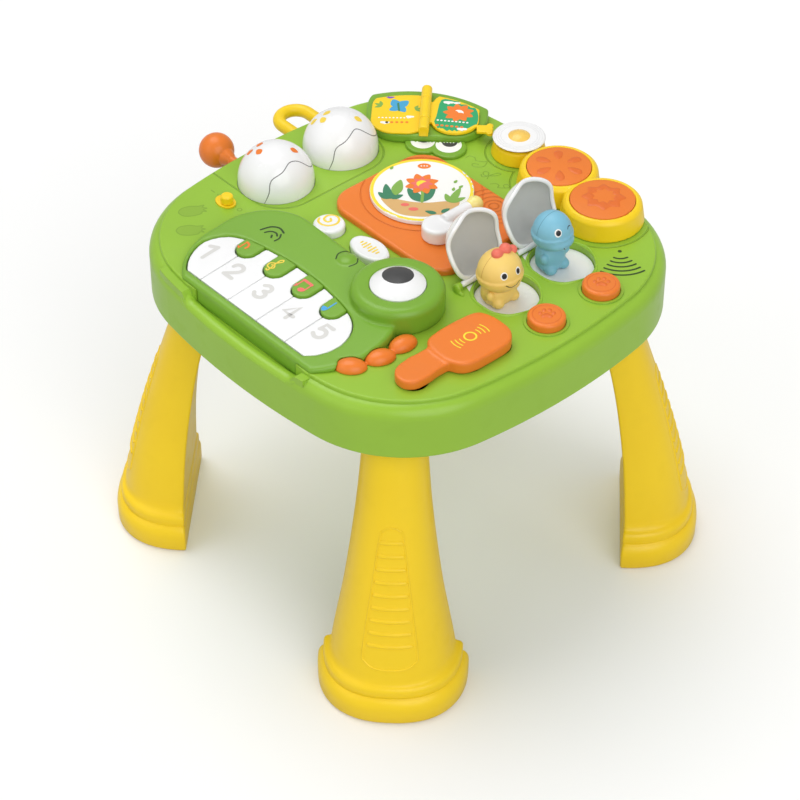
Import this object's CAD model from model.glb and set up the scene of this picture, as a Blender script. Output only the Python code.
# %% [markdown]
# # Musical activity table
# A low plastic play table: a leaf green top with toys set into it, on four yellow legs.
# The measured solids are already packed, so this script dresses them: it gives every solid a
# finish, adds the printed and moulded details, and sets up the studio. Lengths in the cells are
# millimetres, as on a drawing, and are turned into metres when a mesh is made.

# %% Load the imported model
import math

import bpy
from mathutils import Matrix, Vector
from mathutils.bvhtree import BVHTree
from mathutils.geometry import delaunay_2d_cdt


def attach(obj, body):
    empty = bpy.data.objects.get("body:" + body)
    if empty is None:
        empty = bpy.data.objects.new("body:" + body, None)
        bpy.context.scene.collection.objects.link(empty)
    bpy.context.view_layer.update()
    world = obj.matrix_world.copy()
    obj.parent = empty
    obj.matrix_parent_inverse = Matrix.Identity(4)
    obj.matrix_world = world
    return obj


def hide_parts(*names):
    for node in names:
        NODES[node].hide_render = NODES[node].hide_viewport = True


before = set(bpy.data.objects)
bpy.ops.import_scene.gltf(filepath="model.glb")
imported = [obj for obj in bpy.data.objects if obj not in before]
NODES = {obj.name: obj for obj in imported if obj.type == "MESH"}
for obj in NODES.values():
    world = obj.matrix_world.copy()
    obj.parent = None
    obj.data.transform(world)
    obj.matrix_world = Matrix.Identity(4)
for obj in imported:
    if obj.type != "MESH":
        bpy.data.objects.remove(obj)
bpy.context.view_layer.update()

MM = 0.001
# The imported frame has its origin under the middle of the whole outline. The cells measure from
# the middle of the top instead, which lies this far along +X from it.
SHIFT = Vector((12.4, 0.0, 0.0))
DECK = 305.0
PITS = (12.0, 73.5)


def on_frame(points):
    """Points in millimetres from the middle of the top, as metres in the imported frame."""
    return [(Vector(p) + SHIFT) * MM for p in points]


# %% [markdown]
# ## Shader arithmetic
# A finish is easier to read as sums than as a web of boxes. `Wire` wraps one output socket and
# overloads the operators, so `1 - mask` adds a Math node. `Recipe` is one material: its `node`
# method adds any other node from its type, its settings and the values or wires of its sockets.

# %% Wire and Recipe
class Wire:
    def __init__(self, recipe, socket):
        self.recipe = recipe
        self.socket = socket

    def __add__(self, other):
        return self.recipe.sum("ADD", self, other)

    __radd__ = __add__

    def __sub__(self, other):
        return self.recipe.sum("SUBTRACT", self, other)

    def __rsub__(self, other):
        return self.recipe.sum("SUBTRACT", other, self)

    def __mul__(self, other):
        return self.recipe.sum("MULTIPLY", self, other)

    __rmul__ = __mul__

    def __pow__(self, other):
        return self.recipe.sum("POWER", self, other)

    def __abs__(self):
        return self.recipe.sum("ABSOLUTE", self)

    def least(self, other):
        return self.recipe.sum("MINIMUM", self, other)

    def most(self, other):
        return self.recipe.sum("MAXIMUM", self, other)

    def between(self, low, high):
        """0 below low, 1 above high, a soft step between them."""
        settings = {"interpolation_type": "SMOOTHSTEP"}
        values = {"Value": self, "From Min": low, "From Max": high}
        return self.recipe.node("ShaderNodeMapRange", settings, values)


class Recipe:
    def __init__(self, name):
        self.material = bpy.data.materials.new(name)
        self.material.use_nodes = True
        self.tree = self.material.node_tree
        self.tree.nodes.clear()
        self.shader = self.tree.nodes.new("ShaderNodeBsdfPrincipled")
        self.end = self.tree.nodes.new("ShaderNodeOutputMaterial")
        self.tree.links.new(self.shader.outputs[0], self.end.inputs[0])

    def node(self, kind, settings, values, output=0):
        made = self.tree.nodes.new(kind)
        for key, value in settings.items():
            setattr(made, key, value)
        for key, value in values.items():
            self.put(made.inputs[key], value)
        return Wire(self, made.outputs[output])

    def put(self, socket, value):
        if isinstance(value, Wire):
            self.tree.links.new(value.socket, socket)
        else:
            socket.default_value = value

    def sum(self, operation, *terms):
        return self.node("ShaderNodeMath", {"operation": operation}, dict(enumerate(terms)))

    def feed(self, values):
        for key, value in values.items():
            self.put(self.shader.inputs[key], value)

    def blend(self, factor, first, second):
        values = {"Factor": factor, 6: first, 7: second}
        return self.node("ShaderNodeMix", {"data_type": "RGBA"}, values, 2)

    def noise(self, scale, detail=2.0, where=None):
        values = {"Scale": scale, "Detail": detail}
        if where is not None:
            values["Vector"] = where
        return self.node("ShaderNodeTexNoise", {}, values, "Fac")


def linear(red, green, blue, factor=1.0):
    """A colour as read off a screen, turned into the linear values that shaders use."""
    values = []
    for part in (red, green, blue):
        part = min(1.0, part * factor)
        values.append(part / 12.92 if part <= 0.04045 else ((part + 0.055) / 1.055) ** 2.4)
    return (*values, 1.0)


print("shader arithmetic ready")

# %% [markdown]
# ## Moulded plastic
# Every hard piece is injection moulded, and real mouldings are never one flat colour: the tint
# drifts a little with the flow, the skin has a fine orange peel, handling leaves duller patches
# and faint scratches, and every edge is slightly rounded. The Bevel node rounds the shading of
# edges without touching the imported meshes, and the Bump node adds the peel on top of it.

# %% Moulded plastic finish
def moulded(name, colour, roughness=0.3, edge=0.7, coat=0.0, relief=None, paint=None, peel=1.0):
    recipe = Recipe(name)
    where = recipe.node("ShaderNodeTexCoord", {}, {}, "Object")
    drift = recipe.noise(14.0, 3.0, where)
    skin = recipe.noise(900.0, 2.0, where)
    rubbed = recipe.noise(55.0, 5.0, where).between(0.52, 0.72)
    stretch = recipe.node("ShaderNodeMapping", {}, {"Vector": where, "Rotation": (0.4, 0.3, 0.7),
                                                    "Scale": (60.0, 2200.0, 700.0)})
    scratch = recipe.noise(1.0, 1.0, stretch).between(0.7, 0.78)
    tint = recipe.blend(drift, linear(*colour, 0.965), linear(*colour, 1.035))
    tint = recipe.blend(rubbed * 0.10, tint, linear(*colour, 0.9))
    height = skin * (0.03 * peel) - scratch * 0.012
    if relief or paint:
        split = recipe.node("ShaderNodeSeparateXYZ", {}, {"Vector": where}, "X")
        axes = [Wire(recipe, output) * 1000.0 for output in split.socket.node.outputs]
        axes[0] = axes[0] - SHIFT.x
        if relief:
            height = height + relief(*axes)
        if paint:
            mask, other = paint(*axes)
            tint = recipe.blend(mask, tint, linear(*other))
    rounded = recipe.node("ShaderNodeBevel", {"samples": 4}, {"Radius": edge * MM}, "Normal")
    bumped = recipe.node("ShaderNodeBump", {}, {"Strength": 1.0, "Distance": MM, "Height": height,
                                                "Normal": rounded}, "Normal")
    recipe.feed({"Base Color": tint, "Normal": bumped,
                 "Roughness": roughness + drift * 0.06 + rubbed * 0.10 + scratch * 0.1 - 0.03,
                 "Coat Weight": coat, "Coat Roughness": 0.12, "IOR": 1.46})
    return recipe.material


LEAF = (0.586, 0.755, 0.221)
CROC = (0.479, 0.670, 0.192)
SUN = (1.0, 0.83, 0.10)
TANGERINE = (0.927, 0.493, 0.164)
PORCELAIN = (0.963, 0.963, 0.963)

finishes = {
    "croc": moulded("croc_green_plastic", CROC, 0.32, 1.2),
    "sun": moulded("sun_yellow_plastic", SUN, 0.34, 1.0),
    "tangerine": moulded("tangerine_plastic", TANGERINE, 0.32, 0.9),
    "white": moulded("white_gloss_plastic", PORCELAIN, 0.2, 0.7, 0.25),
    "grey_print": moulded("grey_engraving", (0.845, 0.84, 0.825), 0.42, 0.2),
    "yellow_print": moulded("yellow_print", (0.985, 0.85, 0.30), 0.36, 0.2),
    "slot": moulded("dark_green_slot", (0.16, 0.27, 0.07), 0.55, 0.2),
    "groove": moulded("leaf_groove", (0.50, 0.655, 0.18), 0.45, 0.2),
    "leaf_sunk": moulded("leaf_sunk", (0.548, 0.706, 0.205), 0.36, 0.2),
    "shell_inside": moulded("shell_inside_plastic", (0.80, 0.80, 0.79), 0.45, 0.2),
    "leaf_rise": moulded("leaf_rise", (0.60, 0.775, 0.23), 0.32, 0.2),
    "pupil": moulded("pupil_grey", (0.26, 0.26, 0.26), 0.4, 0.2),
    "black": moulded("black_paint", (0.10, 0.10, 0.11), 0.3, 0.2),
    "leaf_paint": moulded("leaf_green_paint", (0.52, 0.70, 0.30), 0.42, 0.1),
    "pine_paint": moulded("pine_green_paint", (0.24, 0.52, 0.38), 0.42, 0.1),
    "orange_paint": moulded("orange_paint", (0.95, 0.50, 0.16), 0.42, 0.1),
    "coral_paint": moulded("coral_paint", (0.94, 0.45, 0.40), 0.42, 0.1),
    "sky_paint": moulded("sky_blue_paint", (0.27, 0.65, 0.90), 0.42, 0.1),
    "rim_paint": moulded("rim_yellow_paint", (0.99, 0.89, 0.22), 0.40, 0.1),
    "cream_paint": moulded("cream_paint", (0.985, 0.98, 0.955), 0.42, 0.1),
    "tangerine_deep": moulded("deep_tangerine_plastic", (0.89, 0.43, 0.14), 0.36, 0.3),
    "crack_grey": moulded("crack_grey_paint", (0.45, 0.45, 0.45), 0.5, 0.1),
    "tan_paint": moulded("tan_paint", (0.87, 0.70, 0.45), 0.42, 0.1),
    "violet_paint": moulded("violet_paint", (0.52, 0.36, 0.75), 0.42, 0.1),
    "page_green": moulded("page_green_paint", (0.16, 0.66, 0.42), 0.42, 0.1),
    "page_blue": moulded("page_blue_paint", (0.27, 0.65, 0.83), 0.42, 0.1),
}
print(len(finishes), "finishes")

# %% [markdown]
# ## Laying details on a surface
# Prints, engraved lines and moulded relief all follow the surface that carries them. Each is
# drawn flat on a `Sheet`, a plane in space, and every point is then shot along the sheet's
# normal on to the carrier, so that the detail bends with a dome or a slope. A filled shape is
# triangulated with inner points, a stroke is a ribbon with round ends.

# %% Sheets and carriers
class Sheet:
    """A drawing plane: a point on it and its two axes. Details are shot against its normal."""

    def __init__(self, origin, across=(1, 0, 0), up=(0, 1, 0)):
        self.origin = (Vector(origin) + SHIFT) * MM
        self.across = Vector(across).normalized()
        self.up = Vector(up).normalized()
        self.normal = self.across.cross(self.up).normalized()

    def point(self, u, v):
        return self.origin + (self.across * u + self.up * v) * MM


PLAN = Sheet((0, 0, 420))
SOFT = {}


def carrier(*objects):
    """The faces of these objects as one tree that rays are tested against."""
    points, faces = [], []
    for item in objects:
        if isinstance(item, str):
            item = SOFT.get(item, NODES[item])
        first = len(points)
        points += [vertex.co.copy() for vertex in item.data.vertices]
        faces += [[first + index for index in face.vertices] for face in item.data.polygons]
    return BVHTree.FromPolygons(points, faces)


def add_piece(name, points, faces, finish, body, smooth=True):
    mesh = bpy.data.meshes.new(name)
    mesh.from_pydata(points, [], faces)
    mesh.update()
    if smooth:
        mesh.shade_smooth()
    piece = bpy.data.objects.new(name, mesh)
    bpy.context.scene.collection.objects.link(piece)
    piece.data.materials.append(finishes[finish])
    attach(piece, body)
    return piece


def bake(piece, finish):
    """Turns the modifiers of a piece into plain mesh."""
    bpy.context.view_layer.update()
    mesh = bpy.data.meshes.new_from_object(piece.evaluated_get(bpy.context.evaluated_depsgraph_get()))
    piece.modifiers.clear()
    piece.data = mesh
    mesh.materials.clear()
    mesh.materials.append(finishes[finish])
    mesh.shade_smooth()
    return piece


def melt(piece, voxel, rounds, factor=0.6):
    """Joins and rounds a piece: a voxel remesh, then smoothing."""
    remesh = piece.modifiers.new("join", "REMESH")
    remesh.mode = "VOXEL"
    remesh.voxel_size = voxel * MM
    smooth = piece.modifiers.new("soften", "SMOOTH")
    smooth.factor = factor
    smooth.iterations = rounds


def extruded(outline, low, high, first=0):
    """A closed block over an outline, between two heights; first is the number of its first point."""
    count = len(outline)
    points = [Vector((x, y, z)) for z in (low, high) for x, y in outline]
    faces = [[first + i for i in range(count)][::-1], [first + count + i for i in range(count)]]
    faces += [[first + i, first + (i + 1) % count, first + count + (i + 1) % count, first + count + i]
              for i in range(count)]
    return points, faces


def soften(name, body, finish, voxel=0.6, rounds=8):
    """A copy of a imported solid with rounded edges, shown in its place."""
    source = NODES[name].data
    points = [vertex.co.copy() for vertex in source.vertices]
    piece = add_piece(f"soft_{name}", points, [list(face.vertices) for face in source.polygons], finish, body)
    melt(piece, voxel, rounds)
    bake(piece, finish)
    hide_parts(name)
    SOFT[name] = piece
    return piece


def lay(name, drawings, onto, body, finish, sheet=PLAN, rise=0.0, lift=0.06):
    """Shoots flat drawings on to a carrier; rise is the height of relief in its middle. Each
    drawing lies a hair above the one before, so that overlapping paints never fight."""
    points, faces, missed = [], [], 0
    for order, (flat, parts, profile) in enumerate(drawings):
        spots = []
        stack = lift + 0.012 * order
        for (u, v), high in zip(flat, profile):
            found, normal, _, _ = onto.ray_cast(sheet.point(u, v), -sheet.normal)
            if found is None:
                missed += 1
                spots.append(None)
                continue
            if normal.dot(sheet.normal) < 0:
                normal = -normal
            spots.append(found + normal * (stack + rise * high) * MM)
        index = {}
        for number, spot in enumerate(spots):
            if spot is not None:
                index[number] = len(points)
                points.append(spot)
        faces += [[index[n] for n in part] for part in parts if all(n in index for n in part)]
    if missed:
        print(name, "missed its carrier at", missed, "points")
    return add_piece(name, points, faces, finish, body)


# %% Flat drawings
def curved(points, closed=False, steps=6):
    """A smooth line through the points."""
    count = len(points)
    line = []
    for i in range(count if closed else count - 1):
        a, b, c, d = (points[(i + k) % count] if closed else points[min(max(i + k, 0), count - 1)]
                      for k in (-1, 0, 1, 2))
        for step in range(steps):
            t = step / steps
            line.append(tuple(0.5 * (2 * q + (r - p) * t + (2 * p - 5 * q + 4 * r - s) * t * t
                                     + (3 * q - p - 3 * r + s) * t ** 3)
                              for p, q, r, s in zip(a, b, c, d)))
    return line if closed else [*line, points[-1]]


def ribbon(points, width, closed=False, rows=4):
    """A stroke with round ends; width may be one number or one for each point."""
    widths = width if isinstance(width, (list, tuple)) else [width] * len(points)
    line = []
    for i, (x, y) in enumerate(points):
        before = points[i - 1] if closed or i else points[0]
        after = points[(i + 1) % len(points)] if closed or i + 1 < len(points) else points[-1]
        along = Vector((after[0] - before[0], after[1] - before[1])).normalized()
        line.append((Vector((x, y)), along, widths[i]))
    if not closed:
        for end, sign in ((0, -1), (-1, 1)):
            spot, along, wide = line[end]
            cap = [(spot + along * sign * wide / 2 * math.sin(turn), along, wide * math.cos(turn))
                   for turn in (math.radians(a) for a in (30, 55, 75, 88))]
            line = cap[::-1] + line if end == 0 else line + cap
    flat, profile, faces = [], [], []
    for spot, along, wide in line:
        side = Vector((-along.y, along.x))
        for k in range(rows + 1):
            t = 2 * k / rows - 1
            flat.append(tuple(spot + side * wide / 2 * t))
            profile.append(math.sqrt(max(0.0, 1 - t * t)))
    size = rows + 1
    loops = len(line) if closed else len(line) - 1
    for i in range(loops):
        j = (i + 1) % len(line)
        faces += [[i * size + k, i * size + k + 1, j * size + k + 1, j * size + k]
                  for k in range(rows)]
    return flat, faces, profile


def inside(loops, x, y):
    odd = False
    for loop in loops:
        for i, (x1, y1) in enumerate(loop):
            x2, y2 = loop[i - 1]
            if (y1 > y) != (y2 > y) and x < (x2 - x1) * (y - y1) / (y2 - y1) + x1:
                odd = not odd
    return odd


def gap_to(loops, x, y):
    least = 1e9
    for loop in loops:
        for i, (x1, y1) in enumerate(loop):
            x2, y2 = loop[i - 1]
            dx, dy = x2 - x1, y2 - y1
            t = ((x - x1) * dx + (y - y1) * dy) / max(1e-9, dx * dx + dy * dy)
            t = min(1.0, max(0.0, t))
            least = min(least, math.hypot(x - x1 - t * dx, y - y1 - t * dy))
    return least


def patch(*loops, step=1.6, edge=1.0):
    """A filled shape; a loop inside another is a hole. Relief reaches its height at edge."""
    flat = [tuple(p) for loop in loops for p in loop]
    sides, first = [], 0
    for loop in loops:
        count = len(loop)
        sides += [(first + i, first + (i + 1) % count) for i in range(count)]
        first += count
    low_x, high_x = min(p[0] for p in flat), max(p[0] for p in flat)
    low_y, high_y = min(p[1] for p in flat), max(p[1] for p in flat)
    y = low_y + step / 2
    while y < high_y:
        x = low_x + step / 2
        while x < high_x:
            if inside(loops, x, y) and gap_to(loops, x, y) > step * 0.4:
                flat.append((x, y))
            x += step
        y += step
    found = delaunay_2d_cdt([Vector(p) for p in flat], sides, [], 0, 1e-5)
    flat = [tuple(p) for p in found[0]]
    faces = []
    for face in found[2]:
        middle = [sum(flat[i][k] for i in face) / len(face) for k in (0, 1)]
        if inside(loops, *middle):
            faces.append(list(face))
    profile = [min(1.0, gap_to(loops, *p) / edge) for p in flat]
    return flat, faces, [h * h * (3 - 2 * h) for h in profile]


def circle(x, y, radius, count=40, other=None):
    other = radius if other is None else other
    return [(x + radius * math.cos(math.tau * i / count), y + other * math.sin(math.tau * i / count))
            for i in range(count)]


def arc(x, y, radius, start, end, count=24):
    turns = [math.radians(start + (end - start) * i / count) for i in range(count + 1)]
    return [(x + radius * math.cos(turn), y + radius * math.sin(turn)) for turn in turns]


def moved(points, x, y, turn=0.0, scale=1.0):
    c, s = math.cos(math.radians(turn)) * scale, math.sin(math.radians(turn)) * scale
    return [(x + c * u - s * v, y + s * u + c * v) for u, v in points]


print("drawing helpers ready")

# %% [markdown]
# ## The green top
# The top is one moulding. Two thin grooves are cut in it: one bounds the push eggs with a
# rounded rectangle, one runs round the three drum stands. Both are distance sums in the shader,
# because a groove a millimetre wide is a matter of light rather than of outline.

# %% Leaf green with grooves
DRUM_STANDS = [(86.0, 139.0, 40.5), (29.0, 144.5, 40.5), (-26.5, 151.5, 28.5)]


def groove_mask(x, y, z):
    away = [((x - cx) ** 2 + (y - cy) ** 2) ** 0.5 - radius for cx, cy, radius in DRUM_STANDS]
    drums = away[0].least(away[1]).least(away[2])
    side = (abs(x + 177.0) - 52.7).most(0.0)
    end = (abs(y - 6.5) - 35.5).most(0.0)
    eggs = (side ** 2 + end ** 2) ** 0.5 - 32.0
    line = (1 - abs(drums).between(0.25, 0.95)).most(1 - abs(eggs).between(0.25, 0.95))
    return line * z.between(303.2, 304.2)


finishes["leaf"] = moulded("leaf_green_plastic", LEAF, 0.3, 1.0,
                           relief=lambda x, y, z: groove_mask(x, y, z) * -0.9,
                           paint=lambda x, y, z: (groove_mask(x, y, z) * 0.55, (0.50, 0.68, 0.20)))
finishes["leaf_plain"] = moulded("leaf_green_base", LEAF, 0.36, 0.8)
print("leaf green with grooves round", len(DRUM_STANDS), "stands")

# %% [markdown]
# ## Turntable, drums and cymbal
# The plinth is orange with one ring groove and a nest of arcs by the tone arm. The cymbal is a
# fried egg: a white plate of fine rings with a yolk. Masks on the distance from each centre
# colour the yolk and cut the rings.

# %% Ring-grooved finishes
def rings(cx, cy, radii, width=0.45):
    def mask(x, y, z):
        away = ((x - cx) ** 2 + (y - cy) ** 2) ** 0.5
        line = 0.0
        for radius in radii:
            ring = 1 - abs(away - radius).between(width * 0.4, width * 1.6)
            line = ring if isinstance(line, float) else line.most(ring)
        return line
    return mask


plinth_arcs = rings(21.0, 78.0, [4.0, 8.0, 13.0, 18.5, 24.0])
finishes["plinth"] = moulded("plinth_orange_plastic", TANGERINE, 0.32, 1.2,
                             relief=lambda x, y, z: plinth_arcs(x, y, z) * -0.7,
                             paint=lambda x, y, z: (plinth_arcs(x, y, z) * 0.5, (0.86, 0.42, 0.14)))
plate_rings = rings(-26.5, 151.5, [15.6, 17.6, 19.6], 0.3)


def yolk(x, y, z):
    away = ((x + 26.5) ** 2 + (y - 151.5) ** 2) ** 0.5
    return (1 - away.between(9.3, 9.5)) * z.between(318.0, 318.4), (0.965, 0.79, 0.36)


finishes["fried_egg"] = moulded("cymbal_white_plastic", PORCELAIN, 0.24, 0.8, 0.2,
                                relief=lambda x, y, z: plate_rings(x, y, z) * -0.2, paint=yolk)


def arm_tip(x, y, z):
    return y.between(49.4, 49.9), (0.97, 0.91, 0.55)


finishes["arm"] = moulded("tone_arm_plastic", PORCELAIN, 0.22, 0.7, 0.25, paint=arm_tip)
print("ring grooves ready")

# %% [markdown]
# ## A finish for every solid
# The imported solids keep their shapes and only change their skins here, inner parts included.

# %% Finish each solid
finishes["steel"] = moulded("bright_steel", (0.72, 0.72, 0.74), 0.32, 0.2)
finishes["rubber"] = moulded("grey_rubber", (0.42, 0.42, 0.43), 0.75, 0.4)
finishes["board"] = moulded("circuit_green", (0.10, 0.35, 0.16), 0.45, 0.2)
finishes["dark"] = moulded("dark_plastic", (0.14, 0.14, 0.15), 0.5, 0.5)
for node in finishes["steel"].node_tree.nodes:
    if node.type == "BSDF_PRINCIPLED":
        node.inputs["Metallic"].default_value = 1.0

WEARS = {
    "leaf": ["top_shell"],
    "leaf_plain": ["bottom_shell", "battery_door"],
    "croc": ["crocodile_head", "note_key_1", "note_key_2", "note_key_3", "note_key_4", "frog_eyes",
             "book_base"],
    "sun": ["leg_front_right", "leg_front_left", "leg_rear_right", "leg_rear_left", "ring_lever",
            "switch_plate", "switch_knob", "drum_housing", "book_page", "book_page_left"],
    "tangerine": ["crest_spikes", "ball_lever", "drum_pad_right", "drum_pad_middle", "shaker",
                  "paw_button_1", "paw_button_2"],
    "plinth": ["turntable_base"],
    "fried_egg": ["cymbal"],
    "arm": ["tone_arm"],
    "white": ["key_1", "key_2", "key_3", "key_4", "key_5", "spiral_button", "oval_button",
              "eye_button", "egg_1", "egg_2", "turntable_disc", "turntable_spindle",
              "lid_left", "lid_right", "nest_plate_left", "nest_plate_right"],
    "steel": ["case_screws", "lid_hinge_pins", "key_axle", "book_spine_pin", "battery_cells"],
    "rubber": ["key_mat"],
    "board": ["circuit_board"],
    "dark": ["speaker", "hatchling_yellow", "hatchling_blue"],
}
for finish, names in WEARS.items():
    for name in names:
        slots = NODES[name].data.materials
        slots.clear()
        slots.append(finishes[finish])
print("finished", sum(len(names) for names in WEARS.values()), "solids")

# %% [markdown]
# ## Soft edges
# Moulded toys have no sharp edges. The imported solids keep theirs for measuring, so the ones
# that sit in plain view are shown as melted copies: remeshed in small cells and smoothed.

# %% Melted copies
for number in range(1, 6):
    soften(f"key_{number}", f"key_{number}", "white", 0.55, 12)
for number in range(1, 5):
    soften(f"note_key_{number}", f"note_key_{number}", "croc", 0.5, 6)
soften("crest_spikes", "table", "tangerine", 0.6, 6)
soften("spiral_button", "spiral_button", "white", 0.5, 8)
soften("oval_button", "oval_button", "white", 0.5, 8)
soften("crocodile_head", "table", "croc", 0.9, 7)
soften("drum_housing", "table", "sun", 0.8, 8)
soften("tone_arm", "tone_arm", "arm", 0.6, 22)
soften("book_base", "table", "croc", 0.8, 10)
soften("book_page", "book_page", "sun", 0.5, 5)
soften("book_page_left", "table", "sun", 0.5, 5)
print(len(SOFT), "melted copies")

# %% [markdown]
# ## Piano keys
# Five white keys carry numbers, four green ones carry notes. The numbers read from the piano
# side, so their tops point towards +Y.

# %% Numbers on the white keys
DIGITS = {
    1: [[(-4.6, 4.6), (1.2, 7.6)], [(1.2, 7.6), (1.2, -7.8)]],
    2: [curved([(-4.4, 3.2), (-3.4, 6.3), (0.2, 7.7), (3.8, 6.2), (4.2, 2.8), (1.4, -1.2), (-4.2, -6.9)]),
        [(-4.2, -6.9), (5.0, -6.9)]],
    3: [curved([(-4.2, 5.4), (-0.6, 7.5), (3.1, 6.2), (3.4, 2.7), (0.0, 0.6)]),
        curved([(0.0, 0.6), (4.0, -1.0), (4.2, -4.8), (1.2, -7.2), (-2.2, -7.0), (-4.6, -4.8)])],
    4: [[(2.2, -7.8), (2.2, 7.4), (-5.2, -3.4), (5.6, -3.4)]],
    5: [[(4.2, 7.2), (-3.2, 7.2), (-3.8, 0.8)],
        curved([(-3.8, 0.8), (-0.4, 2.2), (3.2, 1.0), (4.5, -2.6), (3.0, -6.1), (-0.6, -7.4), (-4.4, -5.6)])],
}
DIGIT_AT = {1: (-87.4, -136.2), 2: (-54.4, -137.2), 3: (-18.6, -136.8), 4: (15.6, -135.9), 5: (51.4, -134.4)}
for number, strokes in DIGITS.items():
    key = f"key_{number}"
    lines = [ribbon(moved(stroke, *DIGIT_AT[number], scale=1.06), 3.7) for stroke in strokes]
    lay(f"number_{number}", lines, carrier(key), key, "grey_print", lift=0.12)
print(len(DIGITS), "numbers")

# %% Notes on the green keys
def note_head(x, y, long=3.1, wide=2.4, turn=25):
    return patch(moved(circle(0, 0, long, 24, wide), x, y, turn), step=1.2)


stem = 1.35
NOTES = {
    1: ("orange_paint", (-72.7, -114.6), [note_head(-2.6, -3.6), ribbon([(0.1, -3.2), (0.1, 6.0)], stem),
        ribbon(curved([(0.1, 6.0), (3.2, 5.2), (5.0, 2.6), (4.6, 0.2)]), 1.9)]),
    2: ("yellow_print", (-36.0, -111.3), [ribbon(curved(
        [(-0.6, -7.2), (0.9, -8.0), (1.6, -6.4), (0.4, 3.4), (0.6, 7.0), (2.2, 8.8), (3.2, 6.8), (0.4, 2.6),
         (-3.4, -0.6), (-2.6, -4.2), (1.0, -4.8), (3.2, -2.6), (1.6, -0.2), (-0.8, -1.2)]), 1.25)]),
    3: ("coral_paint", (-0.8, -110.7), [note_head(-5.6, -4.4), note_head(3.8, -4.8),
        ribbon([(-3.0, -4.0), (-3.0, 5.0)], stem), ribbon([(6.4, -4.4), (6.4, 5.0)], stem),
        ribbon([(-3.0, 4.6), (6.4, 4.6)], 2.6)]),
    4: ("sky_paint", (33.2, -112.9), [note_head(-0.8, -4.6, 3.4, 2.7),
        ribbon([(2.1, -4.2), (2.1, 6.6)], stem)]),
}
for number, (paint, (x, y), marks) in NOTES.items():
    key = f"note_key_{number}"
    placed = [(moved(flat, x, y), faces, profile) for flat, faces, profile in marks]
    lay(f"note_{number}", placed, carrier(key), key, paint, lift=0.12)
print(len(NOTES), "notes")

# %% [markdown]
# ## Crocodile
# Three sound slots and a curl are sunk in the snout, and a crescent lies beside the nostril. A
# sunk slot is drawn as a dark stroke, as narrow as the slot. The eye is a white push button.

# %% Slots on the snout
head = carrier("crocodile_head")
slots = [
    ribbon(curved([(-77.2, -90.6), (-73.8, -82.4), (-67.4, -78.6), (-60.4, -80.2)]), 1.7),
    ribbon(curved([(-72.2, -90.4), (-69.4, -86.0), (-64.6, -84.6), (-61.4, -86.4)]), 1.6),
    ribbon(curved([(-60.6, -83.0), (-58.0, -86.8), (-58.2, -91.6)]), 1.5),
    ribbon(curved([(-65.2, -88.8), (-63.6, -90.8)]), 1.7),
]
lay("snout_slots", slots, head, "table", "slot", lift=0.12)
crescents = [
    ribbon(curved([(-5.4, -71.6), (-8.8, -66.2), (-7.2, -60.4), (-1.6, -56.4)]), [1.2] * 18 + [0.7]),
    ribbon(curved([(6.2, -58.4), (10.6, -63.4), (9.2, -70.2)]), 1.0),
]
lay("nostril_crescents", crescents, head, "table", "slot", lift=0.12)
lay("eye_pupil", [patch(circle(58.4, -61.6, 12.7, 56), step=2.2)], carrier("eye_button"), "eye_button",
    "pupil", lift=0.08)
print(len(slots), "sound slots")

# %% [markdown]
# ## Small buttons
# Beside the piano a white snail button carries a yellow spiral and a white oval one a row of
# yellow sound bars. The orange paw buttons are marked in relief.

# %% Marks on the buttons
spiral = curved([(-62.0, -41.0), (-59.6, -44.2), (-54.6, -45.0), (-49.2, -41.8), (-46.9, -35.2),
                 (-50.2, -29.6), (-56.4, -28.8), (-60.2, -33.4), (-58.6, -38.8), (-54.2, -39.4),
                 (-52.8, -36.4), (-55.2, -34.6)])
lay("snail_spiral", [ribbon(spiral, 2.1)], carrier("spiral_button"), "spiral_button", "yellow_print", rise=0.25)
bars = []
for step, tall in enumerate((2.0, 4.4, 6.8, 3.6, 7.4, 5.0, 2.4)):
    spot = -9.6 + 3.2 * step
    bars.append(ribbon(moved([(spot, -tall / 2), (spot, tall / 2)], -5.0, -36.0), 1.7))
lay("sound_bars", bars, carrier("oval_button"), "oval_button", "yellow_print", rise=0.2)
for number, y in ((1, 10.0), (2, 70.5)):
    button = f"paw_button_{number}"
    toes = [(-5.2, 1.4), (-2.0, 5.0), (2.6, 5.0), (5.6, 1.4)]
    palm = curved([(-3.6, -4.6), (0, -3.6), (3.6, -4.6), (4.4, -1.6), (0, 1.6), (-4.4, -1.6)], True)
    paw = [patch(moved(palm, 154.0, y, 48.0), step=1.0)]
    paw += [patch(moved(circle(0, 0, 1.7, 18, 2.2), *moved([toe], 154.0, y, 48.0)[0], 48.0), step=0.9)
            for toe in toes]
    lay(f"paw_print_{number}", paw, carrier(button), button, "tangerine_deep", rise=0.5)
    lay(f"paw_ring_{number}", [ribbon(circle(154.0, y, 11.4, 48), 0.7, True)], carrier(button), button,
        "tangerine_deep", rise=0.15)
print("button marks laid")

# %% [markdown]
# ## Drum pads
# The middle pad has six sunk petals round its centre, the right one an eight-pointed flower with
# a star inside. Both are a deeper orange than the pad, with a soft edge.

# %% Relief on the drum pads
petals = []
for count in range(6):
    turn = 18 + 60 * count
    outline = curved([(8.0, 0.0), (13.5, 3.4), (19.0, 3.6), (21.4, 0.0), (19.0, -3.6), (13.5, -3.4)], True)
    petals.append(patch(moved(outline, 29.0, 144.5, turn), step=1.4, edge=0.8))
lay("pad_petals", petals, carrier("drum_pad_middle"), "drum_pad_middle", "tangerine_deep", rise=0.35)


def star(points, near, far, turn=0.0):
    return [(r * math.cos(a), r * math.sin(a)) for r, a in
            ((far if i % 2 == 0 else near, math.radians(turn) + math.pi * i / points)
             for i in range(2 * points))]


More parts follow.
